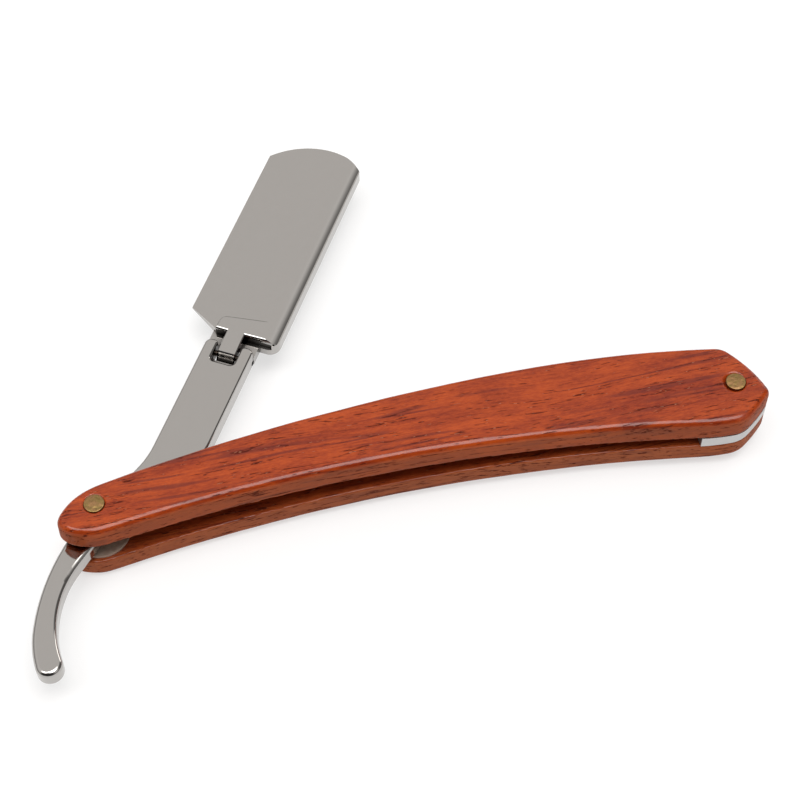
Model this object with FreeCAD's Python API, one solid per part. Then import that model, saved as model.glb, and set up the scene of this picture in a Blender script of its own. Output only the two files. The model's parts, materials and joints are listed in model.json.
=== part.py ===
"""Folding straight razor with a clamping blade head, built as separate solids.

Frame, in millimetres: the razor lies on its rear side. The origin is on the pivot
axis, in the plane of the rear face of the pivot pin. +Z runs through the handle, from
the rear scale to the front scale. +X runs from the pivot pin to the tail pin, and +Y
points to the convex edge of the handle, the side where the open arm stands.
"""
import FreeCAD, Part
import math
import os

V = FreeCAD.Vector
X_AXIS, Y_AXIS, Z_AXIS = V(1, 0, 0), V(0, 1, 0), V(0, 0, 1)
ORIGIN = V(0, 0, 0)

# ---- handle ----
PIN_SPACING = 128.0          # pivot pin to tail pin
SCALE_T = 5.0                # thickness of one scale
SCALE_ROUND = 1.5            # round-over of the scales' outer edge
GAP_PIVOT = 5.45             # distance between the scales at the pivot pin
GAP_TAIL = 2.45              # the same at the tail pin
CREST = (86.0, 13.2)         # highest point of the convex edge
CREST_R_HEEL = 430.0         # convex edge, from the crest to the pivot end
CREST_R_TOE = 225.0          # convex edge, from the crest to the tail end
BELLY = (54.0, -2.6)         # innermost point of the concave edge
BELLY_R = 357.0
HEEL_TOP_X, HEEL_LOW_X = 2.0, 2.0      # where the rounded pivot end meets both long edges
HEEL_POINTS = [(-3.7, 2.65), (-6.35, 0.2), (-7.5, -2.2), (-5.95, -4.8), (-3.0, -6.2)]
TOE_TOP_X = 128.2            # convex edge meets the slanted end
TOE_MID = (131.85, 3.7)      # a point on the slanted end
TOE_TIP = (134.3, -3.3)      # point of the tail end
TOE_UNDER = (130.9, -6.45)   # a point between the tip and the lower corner
TOE_LOW = (127.0, -9.15)     # lower corner
TOE_FLAT = (123.5, -9.1)     # a point on the flatter stretch before the lower corner
TOE_LOW_X = 119.0            # concave edge meets that stretch
TOE_TOP_R, TOE_TIP_R, TOE_LOW_R = 4.0, 1.8, 6.0
SPACER_X = 118.8             # straight inner end of the tail spacer
SEAT_PLAY = 0.01             # between faces that lie against each other

# ---- pins and washers ----
PIN_R = 1.25
PIN_HEAD_R = 2.0
PIN_HEAD_T = 0.9
PIN_HEAD_PROUD = 0.25
PIN_HEAD_CHAMFER = 0.12
TAIL_RECESS_R = 2.2          # the tail pin's recess is wider, and off centre
TAIL_RECESS_SHIFT = -0.18
WASHER_R, WASHER_T = 5.75, 0.6
RUN_PLAY = 0.05              # radial play of the running fits

# ---- arm, in its own frame: u along the shank, v towards the cutting edge ----
ARM_ANGLE = 58.0             # shank from +X, as the razor stands open
ARM_T = 4.0
ARM_ROUND = 0.6
TAIL_ROUND = 1.0
TAIL_BACK_C, TAIL_BACK_R = (-11.0, -42.5), 46.7           # outer edge of the tail
CURL_R, CURL_START, CURL_STOP = 23.0, 107.7, 128.7        # it curls tighter between these angles
TAIL_END_R = 2.57                                         # rounded end
TAIL_BELLY_C, TAIL_BELLY_STOP = (-14.25, -22.75), 78.5    # inner edge, up to this angle
TANG_TURN_U, ELBOW_U = -0.3, 20.8                         # corners under the tang, spine side
SHANK_LEFT, SHANK_RIGHT = -3.15, -13.55                # v of the shank's two sides
NECK_R = 20.0                # hollow between tang and shank, cutting-edge side
UNDER_R = 12.0               # rounding of both corners under the tang
TANG_U = 1.2                 # the tail's softer edges start behind this line, between the scales
CHEEK_END = 47.7             # end of the fork's cheeks
CHEEK_CORNER, CHEEK_INNER_CORNER = 1.4, 0.8
NOTCH_U = 42.5
NOTCH_MID, NOTCH_W = -8.3, 5.2
NOTCH_CORNER = 0.9
LEDGE_U, LEDGE_TOP = 43.7, 0.2                         # a ledge closes the notch's inner end from behind

# ---- blade head ----
EDGE_V, SPINE_V = 3.3, -17.5             # cutting-edge side and spine side
LIP = 0.2                                # thickness of one jaw at the cutting-edge side
FULL_V = -14.0                           # the wedge reaches full thickness here
RIB_W, RIB_TOP = 1.2, 1.1                # spine rib of the rear jaw
JAW_PLAY = 0.03                          # closed jaws, face to face
CROWN_V = -17.2                          # spine side of the front jaw
HEAD_END_C, HEAD_END_R = (89.05, -7.74), 15.7
HEAD_CORNER = 1.0
SKEW_TOP_U, SKEW_LOW_U = 55.0, 51.2      # slanted lower end, at EDGE_V and SHANK_LEFT
REAR_LOW_U, REAR_CORNER = 49.7, 2.3
FRONT_LOW_U = 50.4
BOSS_V, BOSS_U = -3.9, (53.8, 55.4)      # boss: left side, top line at both ends
BOSS_CORNER, BOSS_ROUND = 1.6, 0.3
LOW_END_ROUND = 0.7
TONGUE_W = 3.9
TONGUE_TOP = [(51.4, 2.0), (48.6, 1.95), (45.3, 1.75), (44.55, 0.6), (44.1, 0.1), (44.1, -1.0)]
TONGUE_HEEL = (45.2, -1.33)
TONGUE_ROUND = 0.35          # along both sides

# ---- jaw hinge, spring and blade studs ----
HINGE_U, HINGE_Z = 46.2, -0.9
HINGE_R, KNUCKLE_R = 0.6, 1.05
HINGE_RECESS = 0.45
SPRING_SLOT_W, SPRING_SLOT_U, SPRING_SLOT_TOP = 1.4, (45.2, 47.5), 0.1
WIRE_R, COIL_R, COIL_PITCH = 0.16, 0.8, 0.25
LEG_Z = -1.67                # the spring's two straight legs
STUD_R, STUD_UP, STUD_DOWN = 1.4, 0.6, 0.85
STUD_PLAY = 0.2
STUD_V = -6.7
STUD_US = (66.0, 90.0)

MID_Z = GAP_PIVOT / 2 + SCALE_T + PIN_HEAD_PROUD      # middle plane of the handle
HALF_T = ARM_T / 2
NOTCH_SIDES = (NOTCH_MID - NOTCH_W / 2, NOTCH_MID + NOTCH_W / 2)
TAPER = math.degrees(math.atan((GAP_PIVOT - GAP_TAIL) / 2 / PIN_SPACING))
PAST = 1.0                   # how far tools and overlaps reach beyond a face
TALL = 20.0                  # more than any thickness, for cutting tools
FAR = 120.0                  # more than any distance along the arm
SMALL = 1e-3                 # tolerance when an edge is picked by its place


# ---- helpers ----
def point(xy, z=0.0):
    return V(xy[0], xy[1], z)


def on_circle(centre, radius, degrees):
    a = math.radians(degrees)
    return (centre[0] + radius * math.cos(a), centre[1] + radius * math.sin(a))


def y_on_arc(centre, radius, x, side):
    """y of a circle at x, on its upper (side 1) or lower (side -1) half."""
    return centre[1] + side * math.sqrt(radius ** 2 - (x - centre[0]) ** 2)


def arc(a, b, c):
    return Part.Arc(point(a), point(b), point(c)).toShape()


def line(a, b):
    return Part.LineSegment(point(a), point(b)).toShape()


def prism(edges, z0, z1):
    face = Part.Face(Part.Wire(edges))
    face.translate(V(0, 0, z0))
    return face.extrude(V(0, 0, z1 - z0))


def polygon_prism(points, z0, z1):
    closed = points + points[:1]
    return prism([line(a, b) for a, b in zip(closed, closed[1:])], z0, z1)


def block(u0, u1, v0, v1, z0, z1):
    return Part.makeBox(u1 - u0, v1 - v0, z1 - z0, V(u0, v0, z0))


def rod_z(xy, radius, z0, z1):
    return Part.makeCylinder(radius, z1 - z0, point(xy, z0))


def rod_v(radius, v0, v1):
    """A cylinder on the jaw's hinge axis."""
    return Part.makeCylinder(radius, v1 - v0, V(HINGE_U, v0, HINGE_Z), Y_AXIS)


def upright_edges_at(shape, points, reach=0.3):
    """Edges along Z whose middle is near one of the points, seen from above."""
    found = []
    for edge in shape.Edges:
        box = edge.BoundBox
        if box.XLength + box.YLength > SMALL:
            continue
        if any(math.hypot(box.Center.x - x, box.Center.y - y) < reach for x, y in points):
            found.append(edge)
    return found


def edges_at_height(shape, z):
    """Edges that lie flat at one height."""
    found = []
    for edge in shape.Edges:
        box = edge.BoundBox
        if abs(box.ZMin - z) < SMALL and abs(box.ZMax - z) < SMALL:
            found.append(edge)
    return found


def place_arm(shape):
    """From the arm's frame to the razor's frame."""
    shape.rotate(ORIGIN, Z_AXIS, ARM_ANGLE)
    shape.translate(V(0, 0, MID_Z))
    return shape


def half_gap(x):
    return GAP_PIVOT / 2 - x * math.tan(math.radians(TAPER))


# ---- handle ----
def handle_prism(z0, z1):
    """The outline that both scales and the spacer share, as a prism."""
    heel_c = (CREST[0], CREST[1] - CREST_R_HEEL)
    toe_c = (CREST[0], CREST[1] - CREST_R_TOE)
    belly_c = (BELLY[0], BELLY[1] - BELLY_R)
    heel_top = (HEEL_TOP_X, y_on_arc(heel_c, CREST_R_HEEL, HEEL_TOP_X, 1))
    heel_low = (HEEL_LOW_X, y_on_arc(belly_c, BELLY_R, HEEL_LOW_X, 1))
    toe_top = (TOE_TOP_X, y_on_arc(toe_c, CREST_R_TOE, TOE_TOP_X, 1))
    toe_low = (TOE_LOW_X, y_on_arc(belly_c, BELLY_R, TOE_LOW_X, 1))
    heel = Part.BSplineCurve()
    top_slope = V(heel_top[1] - heel_c[1], heel_c[0] - heel_top[0], 0)
    low_slope = V(heel_low[1] - belly_c[1], belly_c[0] - heel_low[0], 0)
    heel.interpolate(Points=[point(p) for p in [heel_top] + HEEL_POINTS + [heel_low]],
                     InitialTangent=top_slope * -1, FinalTangent=low_slope)
    mid_top_x = (heel_top[0] + CREST[0]) / 2
    mid_toe_x = (CREST[0] + TOE_TOP_X) / 2
    edges = [
        heel.toShape(),
        arc(heel_low, BELLY, toe_low),
        arc(toe_low, TOE_FLAT, TOE_LOW),
        arc(TOE_LOW, TOE_UNDER, TOE_TIP),
        arc(TOE_TIP, TOE_MID, toe_top),
        arc(toe_top, (mid_toe_x, y_on_arc(toe_c, CREST_R_TOE, mid_toe_x, 1)), CREST),
        arc(CREST, (mid_top_x, y_on_arc(heel_c, CREST_R_HEEL, mid_top_x, 1)), heel_top),
    ]
    solid = prism(edges, z0, z1)
    for radius, corner in ((TOE_TOP_R, toe_top), (TOE_LOW_R, TOE_LOW), (TOE_TIP_R, TOE_TIP)):
        solid = solid.makeFillet(radius, upright_edges_at(solid, [corner]))
    return solid


def front_scale():
    """The upper scale: a flat board with its outer edge rounded over."""
    board = handle_prism(0, SCALE_T)
    board = board.makeFillet(SCALE_ROUND, edges_at_height(board, SCALE_T))
    board.rotate(ORIGIN, Y_AXIS, TAPER)
    board.translate(V(0, 0, MID_Z + GAP_PIVOT / 2))
    for x, recess_r, shift in ((0, PIN_HEAD_R, 0), (PIN_SPACING, TAIL_RECESS_R, TAIL_RECESS_SHIFT)):
        seat = MID_Z + half_gap(x) + SCALE_T + PIN_HEAD_PROUD - PIN_HEAD_T
        board = board.cut(rod_z((x, 0), PIN_R + SEAT_PLAY, 0, seat + TALL))
        board = board.cut(rod_z((x + shift, 0), recess_r + SEAT_PLAY, seat - SEAT_PLAY, seat + TALL))
    return board


def rear_scale():
    return front_scale().mirror(V(0, 0, MID_Z), Z_AXIS)


def tail_spacer():
    """The flat wedge that fills the gap at the tail end."""
    blank = handle_prism(-GAP_TAIL, GAP_TAIL)
    end_x = TOE_TIP[0] + PAST
    near = half_gap(SPACER_X) - SEAT_PLAY
    far = half_gap(end_x) - SEAT_PLAY
    profile = Part.makePolygon([V(SPACER_X, -TALL, -near), V(end_x, -TALL, -far), V(end_x, -TALL, far),
                                V(SPACER_X, -TALL, near), V(SPACER_X, -TALL, -near)])
    wedge = blank.common(Part.Face(profile).extrude(V(0, 2 * TALL, 0)))
    wedge = wedge.cut(rod_z((PIN_SPACING, 0), PIN_R + SEAT_PLAY, -TALL, TALL))
    wedge.translate(V(0, 0, MID_Z))
    return wedge


# ---- pins and washers ----
def riveted_pin(x):
    """A pin with a flat head at each end, each a little proud of its scale."""
    top = half_gap(x) + SCALE_T + PIN_HEAD_PROUD
    profile = [(0, -top), (PIN_HEAD_R - PIN_HEAD_CHAMFER, -top), (PIN_HEAD_R, -top + PIN_HEAD_CHAMFER),
               (PIN_HEAD_R, -top + PIN_HEAD_T), (PIN_R, -top + PIN_HEAD_T)]
    mirrored = [(r, -z) for r, z in reversed(profile)]
    outline = [V(r, 0, z) for r, z in profile + mirrored]
    solid = Part.Face(Part.makePolygon(outline + outline[:1])).revolve(ORIGIN, Z_AXIS, 360)
    solid.translate(V(x, 0, MID_Z))
    return solid


def front_washer():
    """A flat ring on the inner face of the front scale, trimmed flush with the scale's edge."""
    ring = Part.makeCylinder(WASHER_R, WASHER_T, V(0, 0, -WASHER_T - SEAT_PLAY))
    ring = ring.common(handle_prism(-GAP_PIVOT, 0))
    ring.rotate(ORIGIN, Y_AXIS, TAPER)
    ring.translate(V(0, 0, MID_Z + GAP_PIVOT / 2))
    return ring.cut(rod_z((0, 0), PIN_R + RUN_PLAY, 0, MID_Z + TALL))


def rear_washer():
    return front_washer().mirror(V(0, 0, MID_Z), Z_AXIS)


# ---- arm ----
def arm_outline():
    """Edges of the tail, tang and shank, and the two corners to round under the tang."""
    curl_c = on_circle(TAIL_BACK_C, TAIL_BACK_R - CURL_R, CURL_START)
    curl_start = on_circle(curl_c, CURL_R, CURL_START)
    curl_mid = on_circle(curl_c, CURL_R, (CURL_START + CURL_STOP) / 2)
    end_c = on_circle(curl_c, CURL_R - TAIL_END_R, CURL_STOP)
    end_back = on_circle(curl_c, CURL_R, CURL_STOP)
    reach = math.hypot(end_c[0] - TAIL_BELLY_C[0], end_c[1] - TAIL_BELLY_C[1])
    belly_r = reach - TAIL_END_R
    belly_angle = math.degrees(math.atan2(end_c[1] - TAIL_BELLY_C[1], end_c[0] - TAIL_BELLY_C[0]))
    end_belly = on_circle(TAIL_BELLY_C, belly_r, belly_angle)
    end_tip = on_circle(end_c, TAIL_END_R, (CURL_STOP + belly_angle + 180) / 2)
    under = on_circle(TAIL_BELLY_C, belly_r, TAIL_BELLY_STOP)
    slope = -1 / math.tan(math.radians(TAIL_BELLY_STOP))
    turn = (TANG_TURN_U, under[1] + slope * (TANG_TURN_U - under[0]))
    elbow = (ELBOW_U, SHANK_RIGHT)
    neck_v = SHANK_LEFT + NECK_R
    neck_rise = neck_v - TAIL_BACK_C[1]
    neck_u = TAIL_BACK_C[0] + math.sqrt((TAIL_BACK_R + NECK_R) ** 2 - neck_rise ** 2)
    neck_angle = math.degrees(math.atan2(neck_rise, neck_u - TAIL_BACK_C[0]))
    neck_end = on_circle(TAIL_BACK_C, TAIL_BACK_R, neck_angle)
    neck_mid = on_circle((neck_u, neck_v), NECK_R, (neck_angle + 180 + 270) / 2)
    neck_start = (neck_u, SHANK_LEFT)
    edges = [
        arc(neck_start, neck_mid, neck_end),
        arc(neck_end, on_circle(TAIL_BACK_C, TAIL_BACK_R, (neck_angle + CURL_START) / 2), curl_start),
        arc(curl_start, curl_mid, end_back),
        arc(end_back, end_tip, end_belly),
        arc(end_belly, on_circle(TAIL_BELLY_C, belly_r, (belly_angle + TAIL_BELLY_STOP) / 2), under),
        line(under, turn),
        line(turn, elbow),
        line(elbow, (CHEEK_END, SHANK_RIGHT)),
        line((CHEEK_END, SHANK_RIGHT), (CHEEK_END, SHANK_LEFT)),
        line((CHEEK_END, SHANK_LEFT), neck_start),
    ]
    return edges, [turn, elbow]


def shank():
    """Tang and forked shank, with the curled tail behind them."""
    edges, under_corners = arm_outline()
    blank = prism(edges, -HALF_T, HALF_T)
    blank = blank.makeFillet(UNDER_R, upright_edges_at(blank, under_corners))
    soft = blank.makeFillet(TAIL_ROUND, edges_at_height(blank, HALF_T) + edges_at_height(blank, -HALF_T))
    tail = soft.common(block(-FAR, TANG_U, -TALL, TALL, -HALF_T, HALF_T))
    fork = blank.cut(notch())
    outer = [(CHEEK_END, v) for v in (SHANK_RIGHT, SHANK_LEFT)]
    inner = [(CHEEK_END, v) for v in NOTCH_SIDES]
    for radius, corners in ((CHEEK_CORNER, outer), (CHEEK_INNER_CORNER, inner)):
        fork = fork.makeFillet(radius, upright_edges_at(fork, corners))
    fork = fork.makeFillet(ARM_ROUND, edges_at_height(fork, HALF_T) + edges_at_height(fork, -HALF_T))
    return fork.common(block(TANG_U, FAR, -TALL, TALL, -HALF_T, HALF_T)).fuse(tail)


def notch():
    """The slot between the fork's cheeks: right through the shank, but for a ledge at its inner end."""
    tools = []
    for u, z0, z1 in ((NOTCH_U, LEDGE_TOP, HALF_T + PAST), (LEDGE_U, -HALF_T - PAST, HALF_T)):
        tool = block(u, CHEEK_END + ARM_ROUND, *NOTCH_SIDES, z0, z1)
        tools.append(tool.makeFillet(NOTCH_CORNER, upright_edges_at(tool, [(u, v) for v in NOTCH_SIDES])))
    return tools[0].fuse(tools[1])


def head_outline(low_points, low_corner):
    """Plan of the blade head: low_points run from the spine side to the cutting side."""
    edge_u = HEAD_END_C[0] + math.sqrt(HEAD_END_R ** 2 - (EDGE_V - HEAD_END_C[1]) ** 2)
    spine_u = HEAD_END_C[0] + math.sqrt(HEAD_END_R ** 2 - (SPINE_V - HEAD_END_C[1]) ** 2)
    end_mid = (HEAD_END_C[0] + HEAD_END_R, HEAD_END_C[1])
    path = [(spine_u, SPINE_V)] + low_points + [(edge_u, EDGE_V)]
    edges = [line(a, b) for a, b in zip(path, path[1:])]
    edges.append(arc((edge_u, EDGE_V), end_mid, (spine_u, SPINE_V)))
    plan = prism(edges, -TALL, TALL)
    plan = plan.makeFillet(HEAD_CORNER, upright_edges_at(plan, [(spine_u, SPINE_V)]))
    return plan.makeFillet(low_corner, upright_edges_at(plan, [low_points[0]]))


def section_prism(edges):
    """A v-z section, given as edges with x = v and y = z, drawn out along u."""
    face = Part.Face(Part.Wire(edges))
    solid = face.extrude(V(0, 0, FAR))
    third_of_a_turn = 120
    solid.rotate(ORIGIN, V(1, 1, 1), third_of_a_turn)
    return solid


def rear_jaw():
    """The fixed jaw: half of a wedge, with a rib along its spine."""
    rib_v = SPINE_V + RIB_W
    corners = [(EDGE_V, 0), (EDGE_V, -LIP), (FULL_V, -HALF_T), (SPINE_V, -HALF_T), (SPINE_V, RIB_TOP),
               (rib_v, RIB_TOP), (rib_v, 0), (EDGE_V, 0)]
    blank = section_prism([line(a, b) for a, b in zip(corners, corners[1:])])
    low = [(REAR_LOW_U, SPINE_V), (REAR_LOW_U, SHANK_RIGHT), (CHEEK_END - PAST, SHANK_RIGHT),
           (CHEEK_END - PAST, SHANK_LEFT), (SKEW_LOW_U, SHANK_LEFT), (SKEW_TOP_U, EDGE_V)]
    jaw = blank.common(head_outline(low, REAR_CORNER))
    flat_edges = edges_at_height(jaw, -HALF_T)
    spine = [e for e in flat_edges if abs(e.BoundBox.YMax - SPINE_V) < SMALL]
    return jaw.makeFillet(ARM_ROUND, spine)


def blade_arm():
    """Tail, tang, forked shank and fixed jaw, forged in one piece."""
    body = shank().fuse(rear_jaw()).cut(notch())
    body = body.cut(rod_z((0, 0), PIN_R + RUN_PLAY, -TALL, TALL))
    body = body.cut(rod_v(HINGE_R + SEAT_PLAY, SHANK_RIGHT - PAST, SHANK_LEFT + PAST))
    for u in STUD_US:
        body = body.cut(rod_z((u, STUD_V), STUD_R + SEAT_PLAY, -STUD_DOWN - SEAT_PLAY, HALF_T))
    return place_arm(body.removeSplitter())


# ---- front jaw ----
def jaw_plate():
    """The moving half of the wedge; its face runs smoothly into a crowned spine side."""
    rib_v = SPINE_V + RIB_W + RUN_PLAY
    low = RIB_TOP + JAW_PLAY
    width, drop = FULL_V - CROWN_V, HALF_T - low
    radius = (width ** 2 + drop ** 2) / (2 * drop)
    centre = (FULL_V, HALF_T - radius)
    run, fall = EDGE_V - centre[0], LIP - centre[1]
    tilt = math.degrees(math.acos(radius / math.hypot(run, fall)) + math.atan2(fall, run))
    blend = on_circle(centre, radius, tilt)
    corners = [(CROWN_V, low), (rib_v, low), (rib_v, JAW_PLAY), (EDGE_V, JAW_PLAY), (EDGE_V, LIP), blend]
    edges = [line(a, b) for a, b in zip(corners, corners[1:])]
    edges.append(arc(blend, (FULL_V, HALF_T), (CROWN_V, low)))
    plan_low = [(FRONT_LOW_U, SPINE_V), (FRONT_LOW_U, BOSS_V), (SKEW_LOW_U, SHANK_LEFT),
                (SKEW_TOP_U, EDGE_V)]
    return section_prism(edges).common(head_outline(plan_low, REAR_CORNER / 2))


def boss():
    """The full-thickness pad that carries the tongue; it runs out in the plate's face."""
    top_left = (BOSS_U[0], BOSS_V)
    pad = polygon_prism([(FRONT_LOW_U, BOSS_V), (FRONT_LOW_U, FULL_V), (BOSS_U[1], FULL_V), top_left],
                        JAW_PLAY, HALF_T)
    pad = pad.makeFillet(BOSS_CORNER, upright_edges_at(pad, [top_left]))
    return pad.makeFillet(BOSS_ROUND, edges_at_height(pad, HALF_T))


def rounded_low_end():
    """All of the space above the jaw's lower end, which is rounded towards the face."""
    space = block(FRONT_LOW_U, FAR, SPINE_V, EDGE_V, 0, HALF_T)
    low_top = [e for e in edges_at_height(space, HALF_T) if abs(e.BoundBox.XMax - FRONT_LOW_U) < SMALL]
    return space.makeFillet(LOW_END_ROUND, low_top)


def tongue():
    """The thumb lever: level with the boss, bevelled at its end, and round the hinge pin below."""
    v0 = NOTCH_MID - TONGUE_W / 2
    knuckle_end = HINGE_U + KNUCKLE_R
    profile = TONGUE_TOP + [TONGUE_HEEL, (HINGE_U, HINGE_Z - KNUCKLE_R), (HINGE_U, HINGE_Z),
                            (knuckle_end, HINGE_Z), (knuckle_end, JAW_PLAY), (TONGUE_TOP[0][0], JAW_PLAY)]
    wire = Part.makePolygon([V(u, v0, z) for u, z in profile + profile[:1]])
    lever = Part.Face(wire).extrude(V(0, TONGUE_W, 0))
    sides = []
    for (u0, z0), (u1, z1) in zip(TONGUE_TOP[:-1], TONGUE_TOP[1:-1]):
        for v in (v0, v0 + TONGUE_W):
            middle = V((u0 + u1) / 2, v, (z0 + z1) / 2)
            sides += [e for e in lever.Edges if e.BoundBox.Center.distanceToPoint(middle) < SMALL]
    lever = lever.makeFillet(TONGUE_ROUND, sides)
    return lever.fuse(rod_v(KNUCKLE_R, v0, v0 + TONGUE_W))


def front_jaw():
    """The moving jaw, with its boss, tongue, hinge bore, spring slot and stud holes."""
    body = jaw_plate().fuse(boss()).common(rounded_low_end())
    body = body.fuse(tongue()).removeSplitter()
    body = body.cut(rod_v(HINGE_R + RUN_PLAY, SHANK_RIGHT, SHANK_LEFT))
    slot_v = NOTCH_MID + SPRING_SLOT_W / 2
    body = body.cut(block(*SPRING_SLOT_U, slot_v - SPRING_SLOT_W, slot_v, -TALL, SPRING_SLOT_TOP))
    body = body.cut(block(NOTCH_U, HINGE_U, NOTCH_MID, slot_v, -TALL, HINGE_Z))
    for u in STUD_US:
        body = body.cut(rod_z((u, STUD_V), STUD_R + STUD_PLAY, -HALF_T, STUD_UP + RUN_PLAY))
    return place_arm(body)


def jaw_hinge_pin():
    v0, v1 = SHANK_RIGHT + HINGE_RECESS, SHANK_LEFT - HINGE_RECESS
    pin = rod_v(HINGE_R, v0, v1)
    rims = [e for e in pin.Edges if e.BoundBox.YLength < SMALL]
    return place_arm(pin.makeChamfer(PIN_HEAD_CHAMFER, rims))


def jaw_spring():
    """A torsion spring round the hinge pin: one leg lifts the tongue, the other bears on the ledge."""
    turns = [NOTCH_MID - COIL_PITCH, NOTCH_MID, NOTCH_MID + COIL_PITCH]
    wire = Part.makeTorus(COIL_R, WIRE_R, V(HINGE_U, turns[0], HINGE_Z), Y_AXIS)
    for v in turns[1:]:
        wire = wire.fuse(Part.makeTorus(COIL_R, WIRE_R, V(HINGE_U, v, HINGE_Z), Y_AXIS))
    for v, end_u in ((turns[0], TONGUE_TOP[-1][0]), (turns[-1], LEDGE_U + SEAT_PLAY)):
        leg = Part.makeCylinder(WIRE_R, HINGE_U - end_u, V(end_u, v, LEG_Z), X_AXIS)
        wire = wire.fuse(leg)
    return place_arm(wire)


def blade_studs():
    """Two pressed studs that locate a half blade by the notches in its back."""
    studs = [rod_z((u, STUD_V), STUD_R, -STUD_DOWN, STUD_UP) for u in STUD_US]
    rounded = [s.makeChamfer(PIN_HEAD_CHAMFER, edges_at_height(s, STUD_UP)) for s in studs]
    return place_arm(Part.makeCompound(rounded))


# ---- write one file per piece ----
PIECES = {
    "front_scale": front_scale,
    "rear_scale": rear_scale,
    "tail_spacer": tail_spacer,
    "pivot_pin": lambda: riveted_pin(0.0),
    "tail_pin": lambda: riveted_pin(PIN_SPACING),
    "front_washer": front_washer,
    "rear_washer": rear_washer,
    "blade_arm": blade_arm,
    "front_jaw": front_jaw,
    "jaw_hinge_pin": jaw_hinge_pin,
    "jaw_spring": jaw_spring,
    "blade_studs": blade_studs,
}

os.makedirs("parts", exist_ok=True)
for name, make in PIECES.items():
    shape = make()
    shape.exportStep("parts/" + name + ".step")
    print(name, shape.ShapeType, len(shape.Solids), shape.isValid(), round(shape.Volume, 2), shape.BoundBox)
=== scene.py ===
import json
import math
import bmesh
import bpy
from mathutils import Matrix, Vector, noise


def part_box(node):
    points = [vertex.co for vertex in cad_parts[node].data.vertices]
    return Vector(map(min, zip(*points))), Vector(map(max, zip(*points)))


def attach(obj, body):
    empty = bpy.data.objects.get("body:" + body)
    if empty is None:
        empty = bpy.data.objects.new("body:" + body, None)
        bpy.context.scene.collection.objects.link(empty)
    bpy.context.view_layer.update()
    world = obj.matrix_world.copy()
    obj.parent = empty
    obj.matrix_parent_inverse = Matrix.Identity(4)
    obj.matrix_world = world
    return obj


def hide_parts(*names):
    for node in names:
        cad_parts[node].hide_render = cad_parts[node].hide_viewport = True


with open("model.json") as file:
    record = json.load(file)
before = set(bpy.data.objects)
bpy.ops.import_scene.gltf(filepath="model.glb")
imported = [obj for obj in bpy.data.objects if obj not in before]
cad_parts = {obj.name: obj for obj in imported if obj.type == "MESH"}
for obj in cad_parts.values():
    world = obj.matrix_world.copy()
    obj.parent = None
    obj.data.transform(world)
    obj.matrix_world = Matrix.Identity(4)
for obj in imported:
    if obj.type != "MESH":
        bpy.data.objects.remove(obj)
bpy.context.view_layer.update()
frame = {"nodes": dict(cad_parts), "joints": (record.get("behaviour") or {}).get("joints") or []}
MM = 0.001
JOINTS = {joint["name"]: joint for joint in frame["joints"]}


# ---- small helpers ----
class Graph:
    """A short way to write a node tree. A value that is a socket gets linked, any other is set."""

    def __init__(self, tree):
        self.tree = tree
        tree.nodes.clear()

    def add(self, kind, inputs=None, **settings):
        node = self.tree.nodes.new("ShaderNode" + kind)
        for name, value in settings.items():
            setattr(node, name, value)
        for name, value in (inputs or {}).items():
            if isinstance(value, bpy.types.NodeSocket):
                self.tree.links.new(value, node.inputs[name])
            else:
                node.inputs[name].default_value = value
        return node

    def math(self, operation, a, b=0.0):
        return self.add("Math", {0: a, 1: b}, operation=operation).outputs[0]

    def object_mm(self, stretch=(1, 1, 1), shift=(0, 0, 0)):
        """The object's own coordinates in millimetres, times stretch, plus shift."""
        coordinates = self.add("TexCoord").outputs["Object"]
        scale = [s / MM for s in stretch]
        return self.add("Mapping", {"Vector": coordinates, "Scale": scale, "Location": shift}).outputs[0]

    def noise(self, vector, scale=1.0, detail=2.0, roughness=0.5):
        inputs = {"Vector": vector, "Scale": scale, "Detail": detail, "Roughness": roughness}
        return self.add("TexNoise", inputs).outputs["Fac"]

    def step(self, value, low, high):
        """0 below low and 1 above high, smooth between; the other way round where high is below low."""
        inputs = {"Value": value, "From Min": low, "From Max": high}
        return self.add("MapRange", inputs, interpolation_type="SMOOTHSTEP").outputs["Result"]

    def between(self, value, low, high):
        """low where value is 0 and high where it is 1."""
        return self.add("MapRange", {"Value": value, "To Min": low, "To Max": high}).outputs["Result"]

    def mix(self, factor, a, b):
        inputs = {"Factor": factor, 6: a, 7: b}
        return self.add("Mix", inputs, data_type="RGBA").outputs[2]

    def bump(self, height, distance_mm, strength=1.0, normal=None):
        inputs = {"Height": height, "Distance": distance_mm * MM, "Strength": strength}
        if normal is not None:
            inputs["Normal"] = normal
        return self.add("Bump", inputs).outputs["Normal"]

    def normal_z(self):
        """Z of the object's own surface normal."""
        return self.add("SeparateXYZ", {0: self.add("TexCoord").outputs["Normal"]}).outputs["Z"]

    def openness(self, reach_mm, **inputs):
        """1 on an open face, falling to 0 where other surfaces crowd round it within reach."""
        inputs["Distance"] = reach_mm * MM
        return self.add("AmbientOcclusion", inputs, samples=8).outputs["AO"]

    def paint_recess_shade(self, tint, dark, reach_mm):
        """tint in the open, and painted shade deep in gaps and corners: dark where other surfaces crowd
        round it or close the space above it.
        """
        around = self.step(self.openness(reach_mm), 0.25, 0.80)
        up = self.add("CombineXYZ", {"Z": 1.0}).outputs[0]
        above = self.step(self.openness(reach_mm, Normal=up), 0.10, 0.40)
        underside = self.step(self.normal_z(), -0.5, -0.8)
        above = self.math("MAXIMUM", above, underside)
        return self.mix(self.math("MINIMUM", around, above), dark, tint)

    def surface(self, **inputs):
        """The Principled shader, wired to the output. An underscore stands for a space."""
        named = {name.replace("_", " "): value for name, value in inputs.items()}
        shader = self.add("BsdfPrincipled", named)
        output = self.add("OutputMaterial")
        self.tree.links.new(shader.outputs[0], output.inputs["Surface"])


def rgb(r, g, b):
    return (r, g, b, 1.0)


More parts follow.
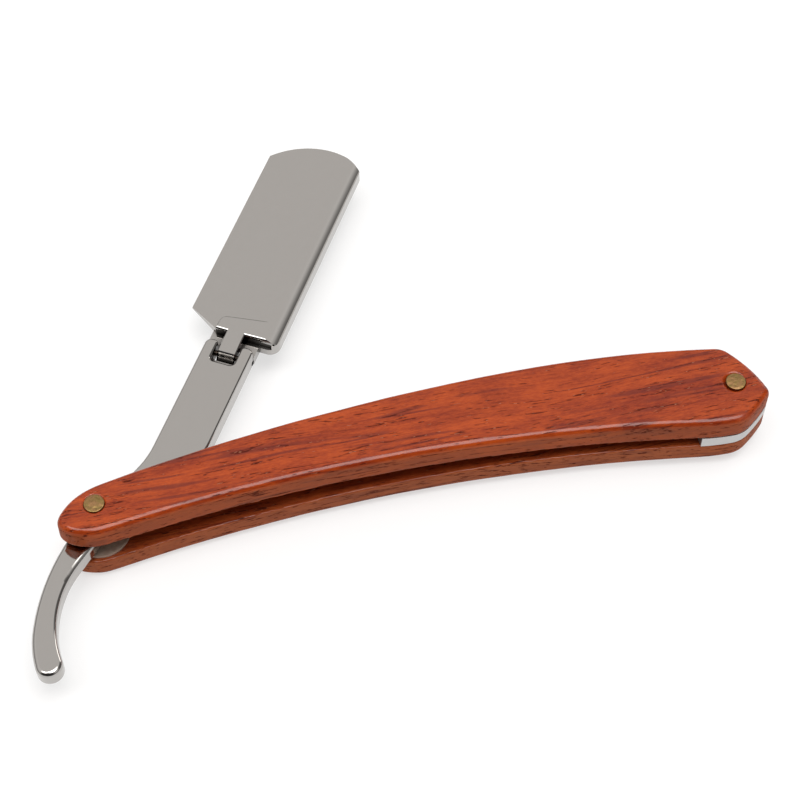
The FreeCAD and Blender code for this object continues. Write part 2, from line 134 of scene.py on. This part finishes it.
def new_material(name):
    material = bpy.data.materials.new(name)
    material.use_nodes = True
    return material, Graph(material.node_tree)


def new_object(name, data):
    piece = bpy.data.objects.new(name, data)
    bpy.context.scene.collection.objects.link(piece)
    return piece


# ---- materials ----
def wood(name, shift, red, orange, stray_from):
    """Lacquered padauk: bands and fibres along X, chains of open pores, a clear coat on its faces.

    Its long sides have less coat, and a lighter, browner colour that is painted light standing in for the
    floor's bounce. A lower stray_from gives more loose pores.
    """
    material, g = new_material(name)
    sway = g.noise(g.object_mm((0.018, 0.03, 0.03), shift), detail=1.0)
    lift = g.add("CombineXYZ", {"Y": g.math("MULTIPLY", sway, 6.0), "Z": g.math("MULTIPLY", sway, 2.0)})

    def along(x, across, detail=2.0, roughness=0.5, offset=0.0):
        """Noise stretched along the grain."""
        place = g.object_mm((1, 1, 1), [s + offset for s in shift])
        swayed = g.add("VectorMath", {0: place, 1: lift.outputs[0]}, operation="ADD").outputs[0]
        squeezed = g.add("VectorMath", {0: swayed, 1: (x, across, across)}, operation="MULTIPLY").outputs[0]
        return g.noise(squeezed, detail=detail, roughness=roughness)

    def chain(level, width):
        """Thin lines where the growth field crosses a level."""
        distance = g.math("ABSOLUTE", g.math("SUBTRACT", growth, level))
        return g.step(distance, width, width / 3)

    growth = along(0.011, 0.34, 1.5, 0.5, 53.0)
    bands = g.step(along(0.015, 0.28, 3.0, 0.55), 0.34, 0.66)
    fibres = g.step(along(0.11, 2.6, 3.0, 0.6, 7.0), 0.30, 0.70)
    cloud = g.step(along(0.16, 0.42, 2.0, 0.5, 31.0), 0.35, 0.65)
    speckle = g.step(along(0.9, 3.4, 2.0, 0.6, 19.0), 0.32, 0.68)
    figure = 0.0
    for part, share in ((bands, 0.30), (cloud, 0.26), (fibres, 0.18), (speckle, 0.26)):
        figure = g.math("ADD", figure, g.math("MULTIPLY", part, share))
    base = g.mix(figure, rgb(*red), rgb(*orange))

    low, middle, high = 0.43, 0.54, 0.66
    lines = g.math("MAXIMUM", chain(low, 0.018), chain(middle, 0.015))
    lines = g.math("MAXIMUM", lines, chain(high, 0.022))
    dash = g.step(along(0.30, 3.0, 2.0, 0.6, 71.0), 0.50, 0.60)
    stray = g.step(along(0.30, 3.2, 1.5, 0.5, 97.0), stray_from, stray_from + 0.06)
    pores = g.math("MAXIMUM", g.math("MULTIPLY", lines, dash), stray)
    streaks = g.math("MAXIMUM", chain(low, 0.05), chain(high, 0.06))
    smoke = g.math("MULTIPLY", streaks, g.step(along(0.06, 0.5, 1.0, 0.5, 71.0), 0.42, 0.62))
    base = g.mix(g.math("MULTIPLY", smoke, 0.65), base, rgb(0.11, 0.013, 0.008))
    base = g.mix(g.math("MULTIPLY", pores, 0.88), base, rgb(0.060, 0.010, 0.006))
    fleck = g.math("MULTIPLY", pores, g.step(along(1.1, 5.0, 0.0, 0.5, 113.0), 0.66, 0.74))
    base = g.mix(g.math("MULTIPLY", fleck, 0.5), base, rgb(0.48, 0.20, 0.11))

    # 1 on the faces and 0 on the long sides: it sets the coat, and where the sides get their painted light
    faces_not_sides = g.step(g.math("ABSOLUTE", g.normal_z()), 0.15, 0.75)
    # painted light: the long sides get a lighter, browner colour in place of the light the floor bounces
    # onto them; their pores stay dark
    side_painted_light = g.mix(pores, rgb(0.42, 0.14, 0.055), rgb(0.09, 0.02, 0.01))
    base = g.mix(g.between(faces_not_sides, 0.30, 0.0), base, side_painted_light)
    lacquer = g.bump(along(0.09, 1.3, 2.0, 0.5, 17.0), 0.02, 0.6)
    open_pores = g.bump(g.math("MULTIPLY", pores, -1.0), 0.03, 0.5, lacquer)
    coat = g.math("MULTIPLY", g.between(faces_not_sides, 0.25, 0.80), g.between(pores, 1.0, 0.15))
    g.surface(Base_Color=base, Roughness=0.55, Specular_IOR_Level=0.0, Normal=open_pores,
              Coat_Weight=coat, Coat_IOR=1.46,
              Coat_Roughness=g.between(faces_not_sides, 0.30, 0.10), Coat_Normal=lacquer)
    return material


def chrome():
    """Polished chrome plate: slow waves from hand polishing, a faint haze, and painted shade that turns its
    recesses dark.
    """
    material, g = new_material("chrome")
    haze = g.noise(g.object_mm((0.5, 0.5, 0.5)), detail=4.0, roughness=0.7)
    waves = g.noise(g.object_mm((0.11, 0.16, 0.16), (3, 1, 4)), detail=1.0)
    lines = g.noise(g.object_mm((2.2, 0.9, 4.0), (5, 9, 2)), detail=3.0, roughness=0.7)
    tint = g.mix(haze, rgb(0.432, 0.417, 0.400), rgb(0.450, 0.435, 0.420))
    # painted shade: the plate goes near black in the notch, the gaps and the corners
    tint = g.paint_recess_shade(tint, rgb(0.035, 0.028, 0.024), 3.5)
    normal = g.bump(waves, 0.05, 0.35)
    normal = g.bump(lines, 0.004, 0.25, normal)
    g.surface(Base_Color=tint, Metallic=1.0, Roughness=g.between(haze, 0.05, 0.10), Normal=normal)
    return material


def brass():
    """Peened brass gone dull: mottled brown and green, small dents."""
    material, g = new_material("brass")
    blotch = g.step(g.noise(g.object_mm((0.9, 0.9, 0.9), (2, 0, 0)), detail=3.0, roughness=0.6), 0.35, 0.65)
    specks = g.noise(g.object_mm((4, 4, 4)), detail=3.0, roughness=0.7)
    tint = g.mix(blotch, rgb(0.225, 0.152, 0.055), rgb(0.300, 0.168, 0.078))
    tint = g.mix(g.step(specks, 0.56, 0.70), tint, rgb(0.125, 0.072, 0.027))
    gloss = g.between(specks, 0.30, 0.50)
    normal = g.bump(specks, 0.03, 0.5)
    g.surface(Base_Color=tint, Metallic=1.0, Roughness=gloss, Normal=normal)
    return material


def brushed_metal():
    """Bare aluminium sheet with fine filing marks round its edge."""
    material, g = new_material("brushed_metal")
    marks = g.noise(g.object_mm((0.5, 0.5, 16)), detail=3.0, roughness=0.7)
    patches = g.noise(g.object_mm((0.4, 0.4, 0.4)), detail=2.0)
    tint = g.mix(patches, rgb(0.47, 0.47, 0.465), rgb(0.56, 0.555, 0.55))
    normal = g.bump(marks, 0.012, 0.5)
    g.surface(Base_Color=tint, Metallic=1.0, Roughness=g.between(marks, 0.34, 0.48), Normal=normal)
    return material


def washer_painted_warm():
    """Dull aluminium with faint turning scuffs, coloured a light mottled brown that is a painted reflection
    of the red wood round it.
    """
    material, g = new_material("washer_painted_warm")
    mottle = g.step(g.noise(g.object_mm((0.7, 0.7, 0.7), (1, 6, 2)), detail=3.0), 0.35, 0.65)
    scuffs = g.noise(g.object_mm((5, 5, 1)), detail=3.0, roughness=0.7)
    # painted reflection: the light brown stands in for the red wood mirrored in the washer
    tint = g.mix(mottle, rgb(0.46, 0.37, 0.30), rgb(0.37, 0.27, 0.21))
    g.surface(Base_Color=tint, Metallic=0.35, Roughness=g.between(scuffs, 0.40, 0.60),
              Specular_IOR_Level=0.4, Normal=g.bump(scuffs, 0.01, 0.6))
    return material


def plain_steel():
    """Ground steel with a little oxide, for hinge pin, spring and studs, with painted shade in its gaps."""
    material, g = new_material("steel")
    grain = g.noise(g.object_mm((6, 6, 6)), detail=3.0, roughness=0.7)
    stain = g.step(g.noise(g.object_mm((0.6, 0.6, 0.6), (8, 8, 0)), detail=3.0), 0.4, 0.7)
    tint = g.mix(stain, rgb(0.55, 0.50, 0.45), rgb(0.42, 0.36, 0.30))
    # painted shade: the steel goes dark in gaps and corners
    tint = g.paint_recess_shade(tint, rgb(0.10, 0.075, 0.06), 1.2)
    g.surface(Base_Color=tint, Metallic=1.0, Roughness=g.between(grain, 0.28, 0.42),
              Normal=g.bump(grain, 0.006, 0.6))
    return material


MATERIALS = {
    "scale_wood": wood("wood_front", shift=(0, 0, 0), red=(0.155, 0.013, 0.003),
                       orange=(0.410, 0.062, 0.008), stray_from=0.655),
    "spacer_metal": brushed_metal(),
    "pin_brass": brass(),
    "polished_metal": chrome(),
    "plain_steel": plain_steel(),
}
REAR_WOOD = wood("wood_rear", shift=(40, 9, 23), red=(0.185, 0.026, 0.007),
                 orange=(0.370, 0.082, 0.021), stray_from=0.625)
WASHER_METAL = washer_painted_warm()


def finish_cad_nodes():
    """Gives each CAD node's slots the material that the record names; washers get a duller one with a
    painted warm reflection.
    """
    for name, piece in frame["nodes"].items():
        for slot in piece.material_slots:
            named = MATERIALS[slot.material.name.split(".")[0]]
            slot.material = WASHER_METAL if name.endswith("washer") else named


# ---- pieces that replace CAD nodes ----
def stand_in(piece, node, body, slot, material=None):
    piece.data.materials.clear()
    piece.data.materials.append(material or MATERIALS[slot])
    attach(piece, body)
    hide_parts(node)


def shade_smooth(mesh):
    mesh.polygons.foreach_set("use_smooth", [True] * len(mesh.polygons))


def sanded_scale(node, name, material):
    """A scale as it comes off the sanding belt: soft edges, and faces with shallow hollows."""
    voxel, unevenness, wavelength = 0.28 * MM, 0.05 * MM, 9 * MM
    inward = 0.5
    piece = new_object(name, frame["nodes"][node].data.copy())
    remesh = piece.modifiers.new("remesh", "REMESH")
    remesh.mode = "VOXEL"
    remesh.voxel_size = voxel
    soften = piece.modifiers.new("soften", "SMOOTH")
    soften.factor = 0.5
    soften.iterations = 4
    graph = bpy.context.evaluated_depsgraph_get()
    mesh = bpy.data.meshes.new_from_object(piece.evaluated_get(graph))
    piece.modifiers.clear()
    piece.data = mesh
    hollows = [(noise.noise(v.co / wavelength) - inward) * unevenness for v in mesh.vertices]
    places = [v.co + v.normal * depth for v, depth in zip(mesh.vertices, hollows)]
    mesh.vertices.foreach_set("co", [c for place in places for c in place])
    mesh.update()
    shade_smooth(mesh)
    stand_in(piece, node, "handle", "scale_wood", material)


def lathe(name, profile, centre, steps=72):
    """A turned solid: profile is (radius, height) pairs from its lower to its upper end."""
    bm = bmesh.new()
    rings = []
    turn = [2 * math.pi * i / steps for i in range(steps)]
    for radius, height in profile:
        rings.append([bm.verts.new((radius * math.cos(a), radius * math.sin(a), height)) for a in turn])
    for low, high in zip(rings, rings[1:]):
        for i in range(steps):
            j = (i + 1) % steps
            bm.faces.new((low[i], low[j], high[j], high[i]))
    bm.faces.new(reversed(rings[0]))
    bm.faces.new(rings[-1])
    mesh = bpy.data.meshes.new(name)
    bm.to_mesh(mesh)
    bm.free()
    mesh.transform(Matrix.Translation(centre))
    shade_smooth(mesh)
    return new_object(name, mesh)


def peened_pin(node):
    """A rivet with two hammered heads: nearly flat faces, rounded rims, shallow dents."""
    low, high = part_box(node)
    centre = (Vector(low) + Vector(high)) / 2
    head_r = (high[0] - low[0]) / 2
    half = (high[2] - low[2]) / 2
    shaft_r, head_t, rim, dome = 1.24 * MM, 0.88 * MM, 0.16 * MM, 0.05 * MM
    profile = [(shaft_r, 0.0), (shaft_r, half - head_t), (head_r, half - head_t)]
    face_rings, rim_rings = 14, 6
    for i in range(rim_rings + 1):
        a = math.pi / 2 * i / rim_rings
        profile.append((head_r - rim * (1 - math.cos(a)), half - dome - rim * (1 - math.sin(a))))
    for i in range(1, face_rings):
        share = 1 - i / face_rings
        profile.append(((head_r - rim) * share, half - dome * share ** 2))
    profile = [(r, -z) for r, z in reversed(profile[1:])] + profile[1:]
    piece = lathe(node + "_peened", profile, centre)
    dent, size = 0.08 * MM, 0.75 * MM
    for vertex in piece.data.vertices:
        height = vertex.co.z - centre.z
        if abs(height) > half - head_t / 2:
            depth = max(0.0, noise.noise(vertex.co / size)) * dent
            vertex.co.z -= math.copysign(depth, height)
    stand_in(piece, node, "handle", "pin_brass")


def coiled_spring():
    """A torsion spring of round wire: a helix round the hinge pin, and two straight legs."""
    hinge = JOINTS["jaw_clamp"]
    centre = Vector(hinge["pos_m"])
    across = Vector(hinge["axis"]).normalized()
    back = -across.cross(Vector((0, 0, 1)))
    wire_r, coil_r, pitch, turns, leg = 0.16 * MM, 0.8 * MM, 0.34 * MM, 3, 1.5 * MM
    per_turn = 24

    def at(turn):
        a = 2 * math.pi * turn
        out = Vector((0, 0, -1)) * math.cos(a) + back * math.sin(a)
        return centre + out * coil_r + across * pitch * (turn - turns / 2)

    route = [at(i / per_turn) for i in range(turns * per_turn + 1)]
    route = [route[0] - back * leg] + route + [route[-1] + back * leg]
    curve = bpy.data.curves.new("coiled_spring", "CURVE")
    curve.dimensions = "3D"
    curve.bevel_depth = wire_r
    curve.bevel_resolution = 4
    curve.use_fill_caps = True
    spline = curve.splines.new("POLY")
    spline.points.add(len(route) - 1)
    for point, place in zip(spline.points, route):
        point.co = (*place, 1.0)
    stand_in(new_object("coiled_spring", curve), "jaw_spring", "arm", "plain_steel")


# ---- studio ----
def make_camera():
    """Above and in front of the handle's concave side, looking down at the whole razor."""
    target = Vector((63.05, 15.39, 7.975)) * MM
    distance = 373.7 * MM
    forward = Vector((0.1342, 0.5650, -0.8141)).normalized()
    right = Vector((0.9729, -0.2311, 0.0)).normalized()
    up = right.cross(forward)
    data = bpy.data.cameras.new("camera")
    data.sensor_width = 36.0
    data.lens = 83.475
    data.clip_start = 0.01
    data.clip_end = 10.0
    camera = new_object("camera", data)
    place = Matrix((right, up, -forward)).transposed().to_4x4()
    place.translation = target - forward * distance
    camera.matrix_world = place
    bpy.context.scene.camera = camera


def make_floor():
    """A pale floor with a light of its own, like a light table, so that shadows stay faint."""
    reach = 3.0
    corners = [(-reach, -reach, 0), (reach, -reach, 0), (reach, reach, 0), (-reach, reach, 0)]
    mesh = bpy.data.meshes.new("floor")
    mesh.from_pydata(corners, [], [(0, 1, 2, 3)])
    material, g = new_material("floor")
    g.surface(Base_Color=rgb(0.34, 0.34, 0.34), Roughness=0.9, Specular_IOR_Level=0.0,
              Emission_Color=rgb(1.0, 1.0, 1.0), Emission_Strength=0.60)
    mesh.materials.append(material)
    new_object("floor", mesh)


def make_world():
    """A soft studio: light all round, with softboxes and dark cards placed in it as patches."""
    world = bpy.data.worlds.new("studio")
    bpy.context.scene.world = world
    world.use_nodes = True
    g = Graph(world.node_tree)
    direction = g.add("TexCoord").outputs["Generated"]

    def patch(under, towards, inner, outer, colour):
        """Paints a round patch of the sky: full within inner degrees, gone beyond outer."""
        towards = Vector(towards).normalized()
        aligned = g.add("VectorMath", {0: direction, 1: towards}, operation="DOT_PRODUCT").outputs["Value"]
        edge = [math.cos(math.radians(a)) for a in (outer, inner)]
        return g.mix(g.step(aligned, *edge), under, rgb(*colour))

    height = g.add("SeparateXYZ", {0: direction}).outputs["Z"]
    sky = g.mix(g.step(height, 0.05, 0.75), rgb(0.30, 0.29, 0.28), rgb(0.95, 0.93, 0.91))
    # dark cards low in front and at the right, and a small lamp behind the right one
    sky = patch(sky, (-0.35, -0.85, 0.35), 34, 56, (0.05, 0.05, 0.05))
    sky = patch(sky, (0.88, 0.05, 0.42), 8, 36, (0.16, 0.155, 0.15))
    sky = patch(sky, (0.77, 0.565, 0.29), 4, 12, (3.0, 2.9, 2.8))
    # a grey card high at the back, and a dark one low behind it
    sky = patch(sky, (0.10, 0.58, 0.80), 18, 32, (0.870, 0.846, 0.822))
    sky = patch(sky, (0.22, 0.94, 0.24), 8, 16, (0.10, 0.10, 0.10))
    # two softboxes overhead
    softbox = (6.2, 6.1, 6.0)
    sky = patch(sky, (0.13, -0.10, 0.98), 14, 24, softbox)
    sky = patch(sky, (-0.38, -0.08, 0.92), 8, 15, softbox)
    background = g.add("Background", {"Color": sky, "Strength": 1.0})
    output = g.add("OutputWorld")
    g.tree.links.new(background.outputs[0], output.inputs["Surface"])


make_camera()
make_floor()
make_world()
bpy.context.scene.view_settings.view_transform = "Standard"

finish_cad_nodes()
sanded_scale("front_scale", "front_scale_sanded", MATERIALS["scale_wood"])
sanded_scale("rear_scale", "rear_scale_sanded", REAR_WOOD)
peened_pin("pivot_pin")
peened_pin("tail_pin")
coiled_spring()
